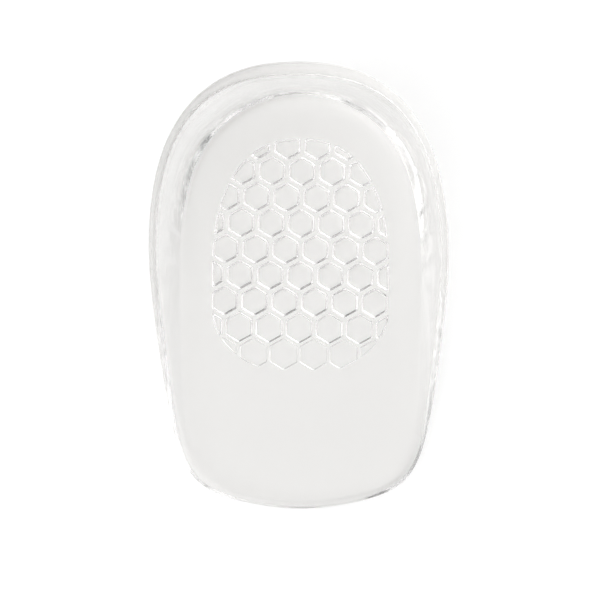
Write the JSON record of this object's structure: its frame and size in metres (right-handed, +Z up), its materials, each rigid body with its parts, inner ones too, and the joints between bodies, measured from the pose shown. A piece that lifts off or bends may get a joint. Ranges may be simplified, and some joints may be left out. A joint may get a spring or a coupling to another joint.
{
  "type": "gel heel cup",
  "caption": "One-piece clear gel heel cup for a shoe: a soft pad with a flaring wall, high behind the heel and low at the toe edge, and a honeycomb of pockets in its underside.",
  "frame": {"origin": "middle of the cup's length and width, on its flat underside", "axes": "+Y towards the back of the heel, +Z up, +X to the right seen from above with the heel at the top"},
  "size_m": [0.0704, 0.105, 0.024],
  "materials": {
    "clear_gel": "clear colourless soft gel, smooth and glossy"
  },
  "bodies": {
    "root": {"heel_cup": "clear_gel"}
  },
  "joints": []
}
